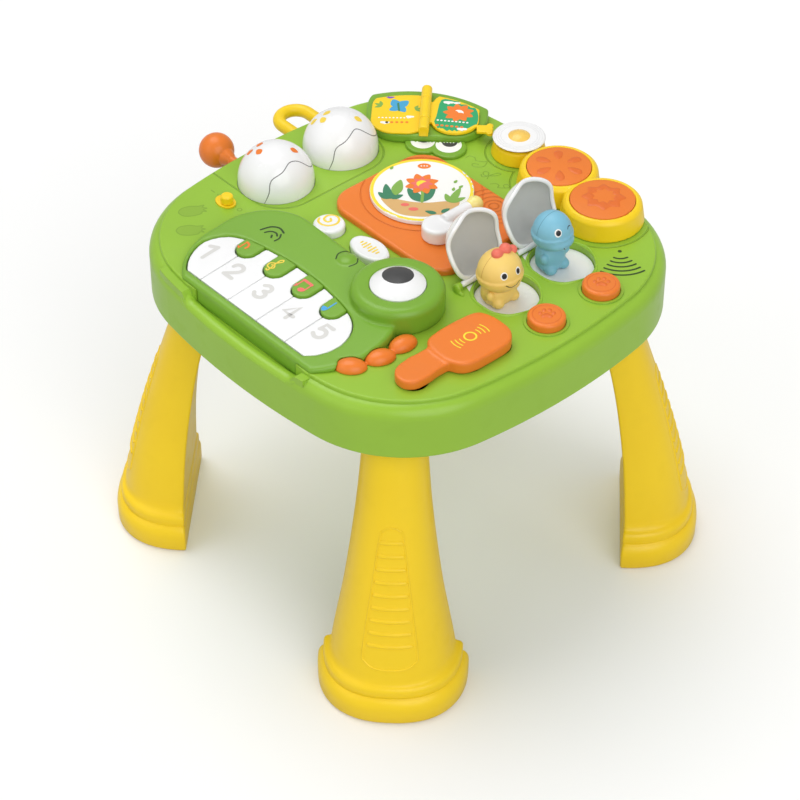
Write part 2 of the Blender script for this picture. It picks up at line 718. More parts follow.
flower = moved(curved(star(8, 14.4, 18.6), True, 3), 85.2, 141.0)
inner = moved(curved(star(9, 7.8, 10.4, 10), True, 3), 84.6, 142.0)
lay("pad_flower", [patch(flower, inner, step=1.5, edge=0.8)], carrier("drum_pad_right"), "drum_pad_right",
    "tangerine_deep", rise=0.35)
print(len(petals), "petals and a flower")

# %% [markdown]
# ## Push eggs
# Each white dome has a flower of three coloured petals near its top, one more petal at its far
# side, and a thin crack drawn round it. The crack is a strip built straight on the ellipsoid,
# since it runs down to where the side is almost upright.

# %% Cracks and petals on the domes
DOME = 32.4


def on_dome(centre, azimuth, height):
    """The point and the outward normal at a bearing and a height over the dome's widest ring."""
    up = max(0.0, height)
    low = math.sqrt(DOME ** 2 - up ** 2)
    spot = Vector((low * math.cos(math.radians(azimuth)), low * math.sin(math.radians(azimuth)), up))
    return Vector(centre) + spot + Vector((0, 0, height - up)), spot.normalized()


def dome_line(name, centre, bearings, width, body, finish):
    line = curved(bearings, steps=4)
    skin = carrier(body)
    points, faces, spots = [], [], []
    for azimuth, height in line:
        spot, normal = on_dome(centre, azimuth, height)
        found = skin.ray_cast((spot + normal * 20 + SHIFT) * MM, -normal)[0]
        spots.append(found / MM - SHIFT + normal * 0.12 if found else spot + normal * 0.3)
    for i, (azimuth, height) in enumerate(line):
        spot, normal = spots[i], on_dome(centre, azimuth, height)[1]
        ahead, behind = spots[min(i + 1, len(line) - 1)], spots[max(i - 1, 0)]
        side = normal.cross(ahead - behind).normalized() * width / 2
        taper = min(1.0, 0.35 + 0.2 * min(i, len(line) - 1 - i))
        points += [(spot + SHIFT + move * taper) * MM for move in (-side, side)]
        if i:
            k = 2 * i
            faces.append([k - 2, k - 1, k + 1, k])
    return add_piece(name, points, faces, finish, body)


EGGS = {
    1: ((-132.0, -29.0, 308.6), "orange_paint",
        [(-58, -4.7), (-50, 6.7), (-47, 16.9), (-26, 21.9), (-4, 26.0), (21, 24.0), (41, 14.0), (66, 9.0),
         (92, 7.0), (118, 9.0), (140, 3.0), (154, -1.0), (166, -6.0)],
        (-141, 28.0), [(-140, 24.2), (-162, 28.4), (-118, 29.3)], (48, 28.2)),
    2: ((-132.0, 42.3, 308.6), "yellow_print",
        [(-60, -6.0), (-52, 5.7), (-48, 15.9), (-32, 20.4), (-8, 25.6), (11, 24.7), (35, 14.0), (60, 9.0),
         (88, 7.0), (112, 9.0), (136, 3.0), (152, -1.0), (164, -6.0)],
        (-133, 28.1), [(-134, 23.4), (-151, 30.1), (-116, 28.7)], (39, 28.4)),
}
for number, (centre, paint, crack, flower_at, near, far) in EGGS.items():
    body = f"egg_{number}"
    dome_line(f"egg_crack_{number}", centre, crack, 0.75, body, "crack_grey")
    dome = carrier(body)
    middle, _ = on_dome(centre, *flower_at)
    for count, bearing in enumerate([*near, far]):
        spot, normal = on_dome(centre, *bearing)
        outward = spot - middle if count < 3 else Vector((0, 0, 1))
        up = (outward - normal * outward.dot(normal)).normalized()
        sheet = Sheet(spot + normal * 12, up.cross(normal), up)
        petal = curved([(0.0, -3.7), (2.4, -1.4), (2.9, 1.5), (0.0, 3.8), (-2.9, 1.5), (-2.4, -1.4)], True)
        lay(f"egg_petal_{number}_{count + 1}", [patch(petal, step=1.3)], dome, body, paint, sheet, lift=0.15)
print(len(EGGS), "eggs marked")

# %% [markdown]
# ## Turntable disc
# The white disc has a yellow rim and a printed garden scene of our own: a flower on a mound
# between leaves, with a small orange badge of dots above. Flat paints are laid one over another.

# %% Print on the disc
record_at = (-31.5, 45.0)
disc = carrier("turntable_disc")


def print_on_disc(name, drawings, paint, level, onto=disc, at=record_at, turn=48.0, body="turntable_disc"):
    placed = [(moved(flat, *at, turn), faces, profile) for flat, faces, profile in drawings]
    lay(name, placed, onto, body, paint, lift=0.05 * level)


def leaf(x, y, turn, long, wide):
    outline = [(0, 0), (long * 0.3, wide * 0.5), (long * 0.7, wide * 0.4), (long, 0),
               (long * 0.65, -wide * 0.35), (long * 0.3, -wide * 0.4)]
    return patch(moved(curved(outline, True, 4), x, y, turn), step=1.6)


print_on_disc("disc_rim", [patch(circle(0, 0, 43.1, 96), circle(0, 0, 40.3, 96), step=3)], "rim_paint", 2)
print_on_disc("disc_face", [patch(circle(0, 0, 40.3, 96), step=4)], "cream_paint", 1)
mound = curved([(-34, -12), (-22, -13), (-8, -17), (6, -18), (20, -16), (31, -17), (26, -28), (12, -36),
                (-6, -37), (-22, -31)], True)
print_on_disc("disc_mound", [patch(mound, step=3)], "tan_paint", 2)
print_on_disc("disc_bush", [leaf(-27, -13, 62, 17, 9), leaf(-27, -13, 98, 21, 8), leaf(-27, -13, 135, 13, 7),
                            leaf(-25, -13, 30, 11, 6), leaf(0, -17, 60, 22, 10), leaf(0, -17, 122, 22, 10),
                            leaf(16, -32, 40, 9, 5), leaf(12, -33, 160, 10, 5)], "pine_paint", 3)
print_on_disc("disc_sprigs", [leaf(-22, -8, 78, 22, 10), leaf(24, -18, 68, 22, 7), leaf(24, -18, 30, 14, 6),
                              leaf(24, -18, 110, 13, 6), leaf(-26, 28, 70, 5, 3), leaf(27, 9, 60, 5, 3),
                              leaf(31, 2, 50, 5, 3), leaf(26, -2, 80, 5, 3),
                              ribbon([(0, -17), (0.6, -6), (-0.4, 4)], 2.6)], "leaf_paint", 4)
blossom = [leaf(0, 8, 18 + 45 * n, 14.5, 9.5) for n in range(8)]
print_on_disc("disc_blossom", blossom, "orange_paint", 5)
print_on_disc("disc_petals", [leaf(0, 8, 40 + 45 * n, 9.5, 5.5) for n in range(8)], "coral_paint", 6)
print_on_disc("disc_heart", [patch(circle(0, 8, 4.6, 28), step=1.6)], "rim_paint", 7)
print_on_disc("disc_stones", [patch(circle(-14, -21, 3.6, 20, 2.2), step=1.6),
                              patch(circle(-7, -27, 4.2, 20, 2.4), step=1.6)], "coral_paint", 4)
print_on_disc("disc_badge", [patch(circle(2, 33.2, 5.6, 28, 3.8), step=1.6)], "orange_paint", 3)
print_on_disc("disc_badge_dots", [patch(circle(2 + 2.4 * n, 33.2, 0.8, 12), step=1.0) for n in (-1, 0, 1)],
              "cream_paint", 4)
print("disc printed")

# %% [markdown]
# ## Flip book
# Two thick pages lie on a green stand. The left one is a yellow page with a blue butterfly, the
# right one has a green panel with an orange sunflower. Rows of dots stand where a book has words.

# %% Prints on the pages
left = carrier("book_page_left")
right = carrier("book_page")


def print_on_page(name, drawings, paint, level, onto, body):
    lay(name, drawings, onto, body, paint, lift=0.05 * level)


def dots(start, end, count, radius):
    return [patch(circle(start[0] + (end[0] - start[0]) * n / (count - 1),
                         start[1] + (end[1] - start[1]) * n / (count - 1), radius, 10), step=1.2)
            for n in range(count)]


def puff(x, y, turn, size=1.0):
    outline = [(-4, -1.2), (-3.4, 1.2), (-1.4, 1.6), (0, 3.0), (2.0, 2.0), (4.2, 1.4), (4.4, -1.2), (0, -1.8)]
    return patch(moved(curved(outline, True, 4), x, y, turn, size), step=1.2)


panel = curved([(-115.8, 144.0), (-106.8, 151.6), (-97.0, 157.0), (-87.4, 157.2), (-78.6, 152.6),
                (-70.6, 144.6), (-65.4, 135.0), (-64.8, 127.2), (-68.0, 120.4), (-76.0, 113.0),
                (-86.4, 105.4), (-101.0, 124.6)], True, 3)
print_on_page("page_panel", [patch(panel, step=3)], "page_green", 1, right, "book_page")
wings = [leaf(-91.5, 141.6, 22 + 40 * n, 13.5, 8.6) for n in range(9)]
print_on_page("page_sunflower", wings, "orange_paint", 2, right, "book_page")
print_on_page("page_sunflower_heart", [patch(circle(-91.5, 141.6, 4.4, 24), step=1.6)], "cream_paint", 3, right,
              "book_page")
clouds = [puff(-108.6, 146.0, -138), puff(-103.2, 150.6, -138, 0.7), puff(-71.6, 127.6, -138)]
clouds += dots((-95.4, 121.0), (-75.6, 137.0), 9, 1.1)
print_on_page("page_clouds", clouds, "cream_paint", 2, right, "book_page")
print_on_page("page_dots", dots((-90.4, 115.6), (-74.0, 129.0), 6, 1.5), "orange_paint", 2, right, "book_page")
blue = [leaf(-134.2, 110.6, turn, long, wide) for turn, long, wide in
        ((160, 12.5, 10), (95, 12.5, 10), (-5, 9.5, 8), (-100, 9.5, 8))]
print_on_page("page_butterfly", blue, "page_blue", 1, left, "table")
print_on_page("page_butterfly_body", [ribbon([(-138.4, 113.8), (-129.8, 107.2)], 1.8)], "pine_paint", 2, left,
              "table")
print_on_page("page_sprigs", [leaf(-145.4, 101.4, turn, 7, 3.4) for turn in (150, 200, 250)] +
              [leaf(-122.4, 119.0, turn, 6, 3.0) for turn in (60, 110, 10)], "leaf_paint", 1, left, "table")
print_on_page("page_tulip", [leaf(-150.6, 112.6, turn, 6.4, 3.2) for turn in (60, 100, 140)], "violet_paint", 1,
              left, "table")
print_on_page("page_puffs", [puff(-116.6, 108.4, -138, 0.8), puff(-124.6, 86.6, -138, 0.9),
                             *dots((-133.6, 87.4), (-116.4, 105.6), 9, 0.9)], "cream_paint", 1, left, "table")
print_on_page("page_row", dots((-126.8, 84.6), (-112.4, 100.6), 6, 1.4), "orange_paint", 1, left, "table")
print("pages printed")

# %% Frog eyes under the book
frog = carrier("frog_eyes")
whites = [patch(circle(-89.6, 98.6, 10.4, 40), step=2), patch(circle(-71.0, 111.4, 11.2, 40), step=2)]
lay("frog_whites", whites, frog, "table", "cream_paint", lift=0.05)
pupils = [patch(circle(-91.8, 101.6, 5.6, 32), step=1.8), patch(circle(-73.2, 114.6, 6.6, 32), step=1.8)]
lay("frog_pupils", pupils, frog, "table", "pupil", lift=0.12)
print("frog eyes painted")

# %% [markdown]
# ## Relief on the deck and the legs
# The deck has a line of music notes in low relief between turntable and drums, a rim round each
# hatching pit and marks by the switch. Every leg has a rounded panel outline on its front.

# %% Deck relief
deck = carrier("top_shell")
notes = [
    ribbon(curved([(-50.8, 113.0), (-50.4, 117.2), (-45.6, 118.4), (-42.2, 116.4), (-37.0, 119.4),
                   (-34.6, 122.4), (-31.4, 115.6), (-34.4, 110.8), (-38.4, 109.0), (-40.6, 111.4),
                   (-36.6, 114.2)]), 0.9),
    ribbon(curved([(-24.6, 106.0), (-21.6, 104.4), (-19.4, 108.4), (-22.4, 112.6), (-25.8, 110.2),
                   (-21.8, 107.2), (-15.4, 113.2), (-13.6, 118.4), (-16.4, 118.0), (-18.6, 110.2),
                   (-16.6, 105.6)]), 0.9),
    ribbon(curved([(-9.4, 102.6), (-6.4, 106.6), (-3.0, 106.4), (-1.6, 103.8), (3.4, 108.6), (4.8, 112.2),
                   (0.6, 112.6), (-0.8, 109.6), (3.0, 107.6)]), 0.9),
]
lay("deck_notes", notes, deck, "table", "groove", rise=0.2, lift=0.02)
PIT_X = 106.5
for number, y in enumerate(PITS, 1):
    wave = []
    for turn in (math.tau * i / 90 for i in range(90)):
        ripple = 0.8 * math.sin(5 * turn)
        wave.append(((28.9 + ripple) * math.cos(turn) + PIT_X, (27.4 + ripple) * math.sin(turn) + y))
    lay(f"pit_rim_{number}", [ribbon(wave, 2.2, True)], deck, "table", "leaf_rise", rise=1.1, lift=0.0)
marks = [ribbon([(-158.4, -77.6), (-154.4, -77.6)], 1.1), ribbon(circle(-121.6, -77.2, 1.9, 20), 1.0, True),
         ribbon([(-127.4, -77.2), (-130.4, -77.2)], 0.8), ribbon([(-147.4, -77.6), (-150.4, -77.6)], 0.8)]
lay("switch_marks", marks, deck, "table", "groove", lift=0.02)
sole = curved([(-11.5, 0), (-8, -5.4), (0, -6.6), (6.4, -5.2), (8.2, -2.4), (11.6, -2.8), (9.2, 0.2),
               (12.6, 1.4), (9.0, 3.4), (10.6, 6.2), (5.6, 5.6), (-1.0, 6.8), (-8.4, 5.0)], True, 4)
for name, place in {"footprint_1": (-146.2, -107.6, 60), "footprint_2": (-126.6, -125.4, 50)}.items():
    sunk = moved(sole, *place)
    lay(name, [patch(sunk, step=2.4)], deck, "table", "leaf_sunk", lift=0.03)
    lay(f"{name}_edge", [ribbon(sunk, 0.9, True)], deck, "table", "groove", lift=0.05)
deck_corners = [Vector((x, y, DECK)) * MM for x, y in ((90, 70), (190, 70), (190, 150), (90, 150))]
flat_deck = BVHTree.FromPolygons(deck_corners, [(0, 1, 2, 3)])
SPEAKER_AT = (128, 118)
waves = [patch(circle(*SPEAKER_AT, 1.7, 20), step=1.2)]
waves += [ribbon(arc(*SPEAKER_AT, 9.75 + 5.4 * n, -74, -6, 20), 1.75) for n in range(5)]
lay("speaker_slots", waves, flat_deck, "table", "slot", lift=0.05)
for number, y in enumerate(PITS, 1):
    rim = [(PIT_X + 29.6 * math.cos(t), y + 27.8 * math.sin(t)) for t in
           (math.radians(a) for a in range(126, 235, 6))]
    apron = rim + [(79.6, y - 19.0), (79.6, y + 19.0)]
    lay(f"pit_apron_{number}", [patch(apron, step=2.4)], deck, "table", "white", lift=0.25)
print(len(notes), "deck notes")

# %% [markdown]
# ## Hatching toys
# Two round-headed toys sit in the pits. Soft vinyl toys have no sharp joins, so the body parts
# are laid as ellipsoids, joined by a voxel remesh and smoothed. Each head has a cheek band: below
# a level line the skin stands out a little, as if the toy wore a scarf up to its eyes.

# %% Soft joined forms
def ball(centre, half, cuts=4):
    """Points and faces of an ellipsoid, from a subdivided icosphere."""
    import bmesh
    shape = bmesh.new()
    bmesh.ops.create_icosphere(shape, subdivisions=cuts, radius=1.0)
    points = [v.co * Vector(half) + Vector(centre) for v in shape.verts]
    faces = [[v.index for v in face.verts] for face in shape.faces]
    shape.free()
    return points, faces


def soft_form(name, balls, finish, body, voxel=0.9, rounds=4, cheek=None):
    points, faces = [], []
    for centre, half in balls:
        more, parts = ball(centre, half)
        faces += [[len(points) + i for i in part] for part in parts]
        points += more
    piece = add_piece(name, on_frame(points), faces, finish, body)
    melt(piece, voxel, rounds)
    bake(piece, finish)
    if cheek:
        cheek(piece.data)
    return piece


TOYS = {
    "yellow": {"at": (102.5, 7.2), "head": (18.4, 19.4, 18.4), "up": 29.6, "body": (13.0, 15.6, 13.0),
               "body_up": 8.4, "band": -0.6, "look": -8.0, "eye_up": -0.8, "mouth": -4.4,
               "mouth_wide": 6.4, "nest": "nest_left"},
    "blue": {"at": (100.0, 67.2), "head": (16.8, 16.8, 17.4), "up": 37.0, "body": (11.6, 13.2, 17.0),
             "body_up": 12.0, "band": 1.0, "look": -2.0, "eye_up": 1.6, "mouth": -8.6,
             "mouth_wide": 3.2, "nest": "nest_right"},
}
FLOOR = DECK - 6.0
finishes["toy_yellow"] = moulded("vinyl_yellow", (0.97, 0.825, 0.455), 0.42, 0.3)
finishes["toy_blue"] = moulded("vinyl_blue", (0.503, 0.749, 0.84), 0.42, 0.3)
finishes["seam_yellow"] = moulded("vinyl_seam_yellow", (0.82, 0.62, 0.27), 0.5, 0.1)
finishes["seam_blue"] = moulded("vinyl_seam_blue", (0.33, 0.56, 0.66), 0.5, 0.1)
finishes["toy_coral"] = moulded("vinyl_coral", (0.93, 0.46, 0.38), 0.42, 0.3)


def cheek_band(centre, half, level):
    """Moves the head's skin outwards below a level line, with a crisp upper edge."""
    def shape(mesh):
        middle = (Vector(centre) + SHIFT) * MM
        for vertex in mesh.vertices:
            away = (vertex.co - middle) / MM
            if away.z < -half[2] * 0.75:
                continue
            front = away.x / half[0]
            edge = level + 0.8 * front
            step = min(1.0, max(0.0, (edge - away.z) / 0.9))
            fade = min(1.0, max(0.0, (away.z + half[2] * 0.75) / 7.0))
            push = 1.15 * step * step * (3 - 2 * step) * fade
            flat = Vector((away.x, away.y, away.z * 0.3)).normalized()
            vertex.co += flat * push * MM
    return shape


for colour, toy in TOYS.items():
    x, y = toy["at"]
    hx, hy, hz = toy["head"]
    bx, by, bz = toy["body"]
    high = FLOOR + toy["up"]
    head_parts = [((x, y, high), (hx - 0.6, hy - 0.6, hz))]
    if colour == "blue":
        head_parts.append(((x + hx * 0.42, y, high - 5.0), (hx * 0.62, hy * 0.78, 7.6)))
    head_piece = soft_form(f"toy_head_{colour}", head_parts, f"toy_{colour}", toy["nest"],
                           cheek=cheek_band((x, y, high), toy["head"], toy["band"]))
    body_parts = [((x - 1.0, y, FLOOR + toy["body_up"] + 1.0), (bx, by, bz)),
                  ((x - 1.0, y, FLOOR + 7.0), (bx * 0.98, by, 6.6))]
    for hand in (-1, 1):
        body_parts.append(((x + bx * 0.55, y + hand * by * 0.52, FLOOR + 4.8), (6.0, 5.4, 4.7)))
        shoulder = FLOOR + toy["body_up"] + 4.0
        body_parts.append(((x + bx * 0.35, y + hand * by * 0.90, shoulder), (3.6, 3.4, 4.8)))
    soft_form(f"toy_body_{colour}", body_parts, f"toy_{colour}", toy["nest"], rounds=5)
    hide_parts(f"hatchling_{colour}")

    skin = carrier(head_piece)
    flank = Sheet((x, y - 60, high), (1, 0, 0), (0, 0, 1))
    rise_to = [(-1.5, toy["band"] + 1.0 + (hz - toy["band"] - 3.0) * n / 14) for n in range(15)]
    over = [(x - 1.5, y + n) for n in range(-9, 10)]
    lay(f"toy_seam_{colour}", [ribbon(rise_to, 0.45)], skin, toy["nest"], f"seam_{colour}", flank)
    lay(f"toy_seam_top_{colour}", [ribbon(over, 0.45)], skin, toy["nest"], f"seam_{colour}")
    for hand in (-1, 1):
        aim = math.radians(24 * hand + toy["look"])
        face = Vector((math.cos(aim), math.sin(aim), 0.42)).normalized()
        across = Vector((0, 0, 1)).cross(face).normalized()
        sheet = Sheet(Vector((x, y, high + toy["eye_up"])) + face * 40, across, face.cross(across))
        if colour == "blue" and hand == 1:
            wink = [ribbon(arc(0, -1.0, 2.6, 30, 150, 8), 0.8)]
            lay("toy_wink_blue", wink, skin, toy["nest"], "black", sheet)
            continue
        lay(f"toy_eye_white_{colour}_{hand + 2}", [patch(circle(0, 0, 3.0, 28, 3.4), step=1.2)], skin,
            toy["nest"], "cream_paint", sheet, lift=0.05)
        lay(f"toy_eye_{colour}_{hand + 2}", [patch(circle(-0.2 * hand, 0, 2.1, 24, 2.4), step=1.0)], skin,
            toy["nest"], "black", sheet, lift=0.1)
    aim = math.radians(toy["look"])
    front = Sheet((x + 60 * math.cos(aim), y + 60 * math.sin(aim), high),
                  (-math.sin(aim), math.cos(aim), 0), (0, 0, 1))
    wide = toy["mouth_wide"]
    smile = curved([(-wide, toy["mouth"] + 2.6), (-wide * 0.5, toy["mouth"] + 0.2), (0, toy["mouth"] - 0.6),
                    (wide * 0.5, toy["mouth"] + 0.2), (wide, toy["mouth"] + 2.6)])
    lay(f"toy_smile_{colour}", [ribbon(smile, 0.8)], skin, toy["nest"], "black", front)
lobes = [((102.5, 3.9, FLOOR + 47.4), (4.8, 5.0, 4.2)), ((102.5, 12.6, FLOOR + 47.8), (5.2, 5.2, 4.9)),
         ((102.5, 20.2, FLOOR + 43.4), (4.3, 4.3, 4.0))]
soft_form("toy_comb_yellow", lobes, "toy_coral", "nest_left", voxel=0.7, rounds=3)
print(len(TOYS), "hatching toys")

# %% [markdown]
# ## Hatching shells
# Each lid is half an egg shell, 2 mm thick, with a rounded lip that waves like a broken edge. It
# is built closed, as a grid of meridians that runs down the outside, round the lip and up the
# inside, and is then turned about its hinge to stand open.

# %% Swept tubes
def tube(rings, sides):
    """A closed tube of any sections: each ring is a list of points, all with the same count."""
    count = len(rings)
    points = [point for ring in rings for point in ring]
    faces = []
    for i in range(count - 1):
        for n in range(sides):
            a, b = sides * i + n, sides * i + (n + 1) % sides
            faces.append([a, b, b + sides, a + sides])
    faces += [list(range(sides))[::-1], [sides * (count - 1) + n for n in range(sides)]]
    return points, faces


ROD_SIDES = 20
ROD_LINE = []
for spot in (-24.0 + 2.0 * step for step in range(25)):
    thick = 2.5 * min(1.0, math.sqrt(max(0.05, 1 - (max(0.0, abs(spot) - 22.5) / 1.6) ** 2)))
    ROD_LINE.append([Vector((thick * math.cos(a), spot, thick * math.sin(a)))
                     for a in (math.tau * n / ROD_SIDES for n in range(ROD_SIDES))])
print("hinge rod of", len(ROD_LINE), "rings")


# %% Shell lids
def shell_lid(side, y):
    outer, inner = (28.2, 27.4, 24.9), (26.1, 25.3, 22.8)
    middle = Vector((28.2 - 1.0, 0.0, -2.2))
    meridians, rows = 96, 22
    points, faces = [], []
    for i in range(meridians):
        turn = math.tau * i / meridians
        away = (1 + math.cos(turn)) / 2
        rim = 2.4 + 4.6 * min(1.0, 1.6 * away) * (0.5 + 0.5 * math.sin(4 * turn + 0.9))
        square = 2.0 + 0.9 * (1 - away)
        wide = (abs(math.cos(turn)) ** square + abs(math.sin(turn)) ** square) ** (-1 / square)
        line = []
        for size, order in ((outer, 1), (inner, -1)):
            low = math.asin(min(0.95, rim / size[2]))
            run = []
            for k in range(rows):
                rise = low + (math.pi / 2 - low) * (1 - k / (rows - 1)) ** 1.3
                flat = math.cos(rise) * (1 + (wide - 1) * math.cos(rise))
                run.append(Vector((size[0] * flat * math.cos(turn), size[1] * flat * math.sin(turn),
                                   size[2] * math.sin(rise))))
            line.append(run)
        start, end = line[0][-1], line[1][-1]
        half = (start - end) / 2 * 1.75
        down = Vector((0, 0, -1))
        lip = [(start + end) / 2 + half * math.cos(a) + down * half.length * (math.sin(a) - 0.3)
               for a in (math.radians(-35 + 25 * k) for k in range(11))]
        meridian = line[0][1:] + lip + line[1][1:][::-1]
        points += [p + middle for p in meridian]
    length = len(meridian)
    for i in range(meridians):
        j = (i + 1) % meridians
        faces += [[i * length + k, i * length + k + 1, j * length + k + 1, j * length + k]
                  for k in range(length - 1)]
    for k, top in ((0, outer), (length - 1, inner)):
        points.append(Vector((0, 0, top[2])) + middle)
        ring = [(i * length + k, ((i + 1) % meridians) * length + k) for i in range(meridians)]
        faces += [[b, a, len(points) - 1] if k else [a, b, len(points) - 1] for a, b in ring]
    rod, rod_faces = tube(ROD_LINE, ROD_SIDES)
    faces += [[len(points) + n for n in face] for face in rod_faces]
    points += rod
    hinge = on_frame([(78.0, y, DECK + 3.6)])[0]
    place = Matrix.Translation(hinge) @ Matrix.Rotation(math.radians(-106), 4, "Y")
    piece = add_piece(f"egg_lid_{side}", [place @ (p * MM) for p in points], faces, "white", f"lid_{side}")
    piece.data.materials.append(finishes["shell_inside"])
    for i in range(meridians):
        for number in [i * (length - 1) + k for k in range(rows + 8, length - 1)] + [meridians * length + i]:
            piece.data.polygons[number].material_index = 1
    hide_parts(f"lid_{side}")
    return piece


for side, y in zip(("left", "right"), PITS):
    shell_lid(side, y)
    for end in (-1, 1):
        at = y + end * 28.6
        ear = [((78.6, at, DECK + 2.4), (4.4, 2.6, 5.2)), ((80.4, at, DECK + 0.4), (6.4, 2.4, 2.2))]
        soft_form(f"hinge_ear_{side}_{end + 2}", ear, "leaf_plain", "table", voxel=0.5, rounds=3)
print("two shell lids")

# %% [markdown]
# ## Shaker and rim dip
# The shaker is one soft paddle: a rounded body and a thick handle melted together. Beside the
# piano the rim dips, and a swept bead carries it down and up again without a corner.

# %% Shaker paddle
body_line = curved([(114.4, -56.0), (116.8, -33.6), (125.2, -26.8), (138.0, -24.8), (151.4, -26.6),
                    (160.4, -34.8), (162.4, -46.0), (162.4, -60.0), (161.6, -73.4), (157.6, -83.4),
                    (148.8, -88.8), (138.0, -89.8), (126.4, -88.8), (117.4, -83.6), (114.8, -72.0)], True, 4)
grip_line = curved([(122.6, -80.0), (122.2, -99.0), (122.0, -110.0), (124.2, -122.4), (131.0, -129.2),
                    (140.4, -129.6), (147.6, -123.0), (149.0, -110.0), (147.8, -99.0), (148.4, -80.0)],
                   False, 4)
paddle, sides = extruded(body_line, DECK + 0.3, DECK + 11.6)
more, other = extruded(grip_line, DECK + 0.3, DECK + 9.4, len(paddle))
shaker = add_piece("shaker_paddle", on_frame(paddle + more), sides + other, "tangerine", "shaker")
melt(shaker, 0.8, 26)
bake(shaker, "tangerine")
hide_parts("shaker")
SOFT["shaker"] = shaker
ICON_AT = (137.2, -56.6)
icon = [ribbon(circle(*ICON_AT, 4.8, 40), 1.5, True)]
for reach, half in ((9.0, 3.0), (12.6, 4.4), (16.2, 5.6)):
    spread = math.degrees(half / reach)
    icon += [ribbon(arc(*ICON_AT, reach, side - spread, side + spread, 10), 1.0) for side in (90, -90)]
lay("shaker_icon", icon, carrier("shaker"), "shaker", "rim_paint", lift=0.1)
skirt = carrier("top_shell")
BEAD_SIDES, DIP_TOP, DIP_RISE, BEAD_HALF = 24, 295.5, 6.0, 5.0
bead = []
for x in (-78.0 + 2.0 * i for i in range(79)):
    found = skirt.ray_cast(on_frame([(x, -230.0, 285.0)])[0], Vector((0, 1, 0)))[0]
    ramp = min(1.0, max(0.0, (abs(x) - 60.0) / 14.0))
    level = DIP_TOP + DIP_RISE * ramp * ramp * (3 - 2 * ramp) - BEAD_HALF
    wide = 6.0 - 2.6 * min(1.0, max(0.0, (abs(x) - 68.0) / 8.0))
    back = found.y / MM + 6.25
    bead.append([Vector((x, back + wide * math.cos(a), level + BEAD_HALF * math.sin(a)))
                 for a in (math.tau * n / BEAD_SIDES for n in range(BEAD_SIDES))])
bead_points, bead_faces = tube(bead, BEAD_SIDES)
add_piece("rim_dip", on_frame(bead_points), [face[::-1] for face in bead_faces], "leaf", "table")
print("shaker and rim dip")

# %% [markdown]
# ## Legs
# A leg is a smooth shell of a rounded D-shaped section, flat on its inner side. Its foot swells
# in two rounded steps. The section is set at each height by five measured levels and by the
# steps, and the front carries a ladder of nine ribs inside the panel outline.

# %% Legs with rounded feet
LEVELS = [(0.0, 192.0, 248.0, 56.0), (45.0, 191.0, 246.5, 50.5), (110.0, 186.0, 231.5, 39.5),
          (185.0, 173.5, 208.5, 30.0), (254.0, 154.0, 185.5, 24.5)]
FOOT, ANKLE = (189.5, 256.6, 63.0), (190.3, 252.0, 58.0)


def shaft(height):
    """Inner reach, outer reach and half width of the shaft, smooth through the levels."""
    i = max(k for k in range(4) if height >= LEVELS[k][0])
    a, b, c, d = (LEVELS[min(max(i + k, 0), 4)] for k in (-1, 0, 1, 2))
    t = (height - b[0]) / (c[0] - b[0])
    def through(n):
        before = (c[n] - a[n]) / (c[0] - a[0])
        after = (d[n] - b[n]) / (d[0] - b[0])
        long = c[0] - b[0]
        return ((2 * t ** 3 - 3 * t ** 2 + 1) * b[n] + (t ** 3 - 2 * t ** 2 + t) * long * before
                + (3 * t ** 2 - 2 * t ** 3) * c[n] + (t ** 3 - t ** 2) * long * after)
    return through(1), through(2), through(3)


def grown(size, by):
    return size[0] - by * 0.3, size[1] + by, size[2] + by


rings_up = [(0.0, grown(FOOT, -2.4)), (0.7, grown(FOOT, -1.0)), (2.2, grown(FOOT, -0.2))]
rings_up += [(13.5 + 12.0 * math.sin(a), grown(FOOT, -8.5 * (1 - math.cos(a))))
             for a in (math.radians(n) for n in range(0, 76, 7))]
rings_up += [(25.6, grown(ANKLE, -0.2)), (28.0, ANKLE), (31.0, ANKLE)]
rings_up += [(31.0 + 5.0 * math.sin(a), grown(ANKLE, -5.0 * (1 - math.cos(a))))
             for a in (math.radians(n) for n in range(15, 76, 15))]
rings_up += [(height, shaft(height)) for height in [37.6 + 5.4 * n for n in range(41)]]


def d_ring(inner, outer, half, count=56):
    """A closed rounded D: a superellipse in front, a flat face with round corners behind."""
    ring = []
    for i in range(count + 1):
        turn = math.radians(-90 + 180 * i / count)
        across = math.copysign(abs(math.sin(turn)) ** (2 / 2.35), math.sin(turn))
        ahead = abs(math.cos(turn)) ** (2 / 2.35)
        ring.append((inner + 2.0 + (outer - inner - 2.0) * ahead, half * across))
    for i in range(1, 4):
        a = math.radians(90 * i / 4)
        ring.append((inner + 2.0 * (1 - math.sin(a)), half - 2.0 * (1 - math.cos(a))))
    ring += [(inner, (half - 2.0) * (1 - n / 4)) for n in range(9)]
    for i in range(1, 4):
        a = math.radians(90 * (4 - i) / 4)
        ring.append((inner + 2.0 * (1 - math.sin(a)), -half + 2.0 * (1 - math.cos(a))))
    return ring


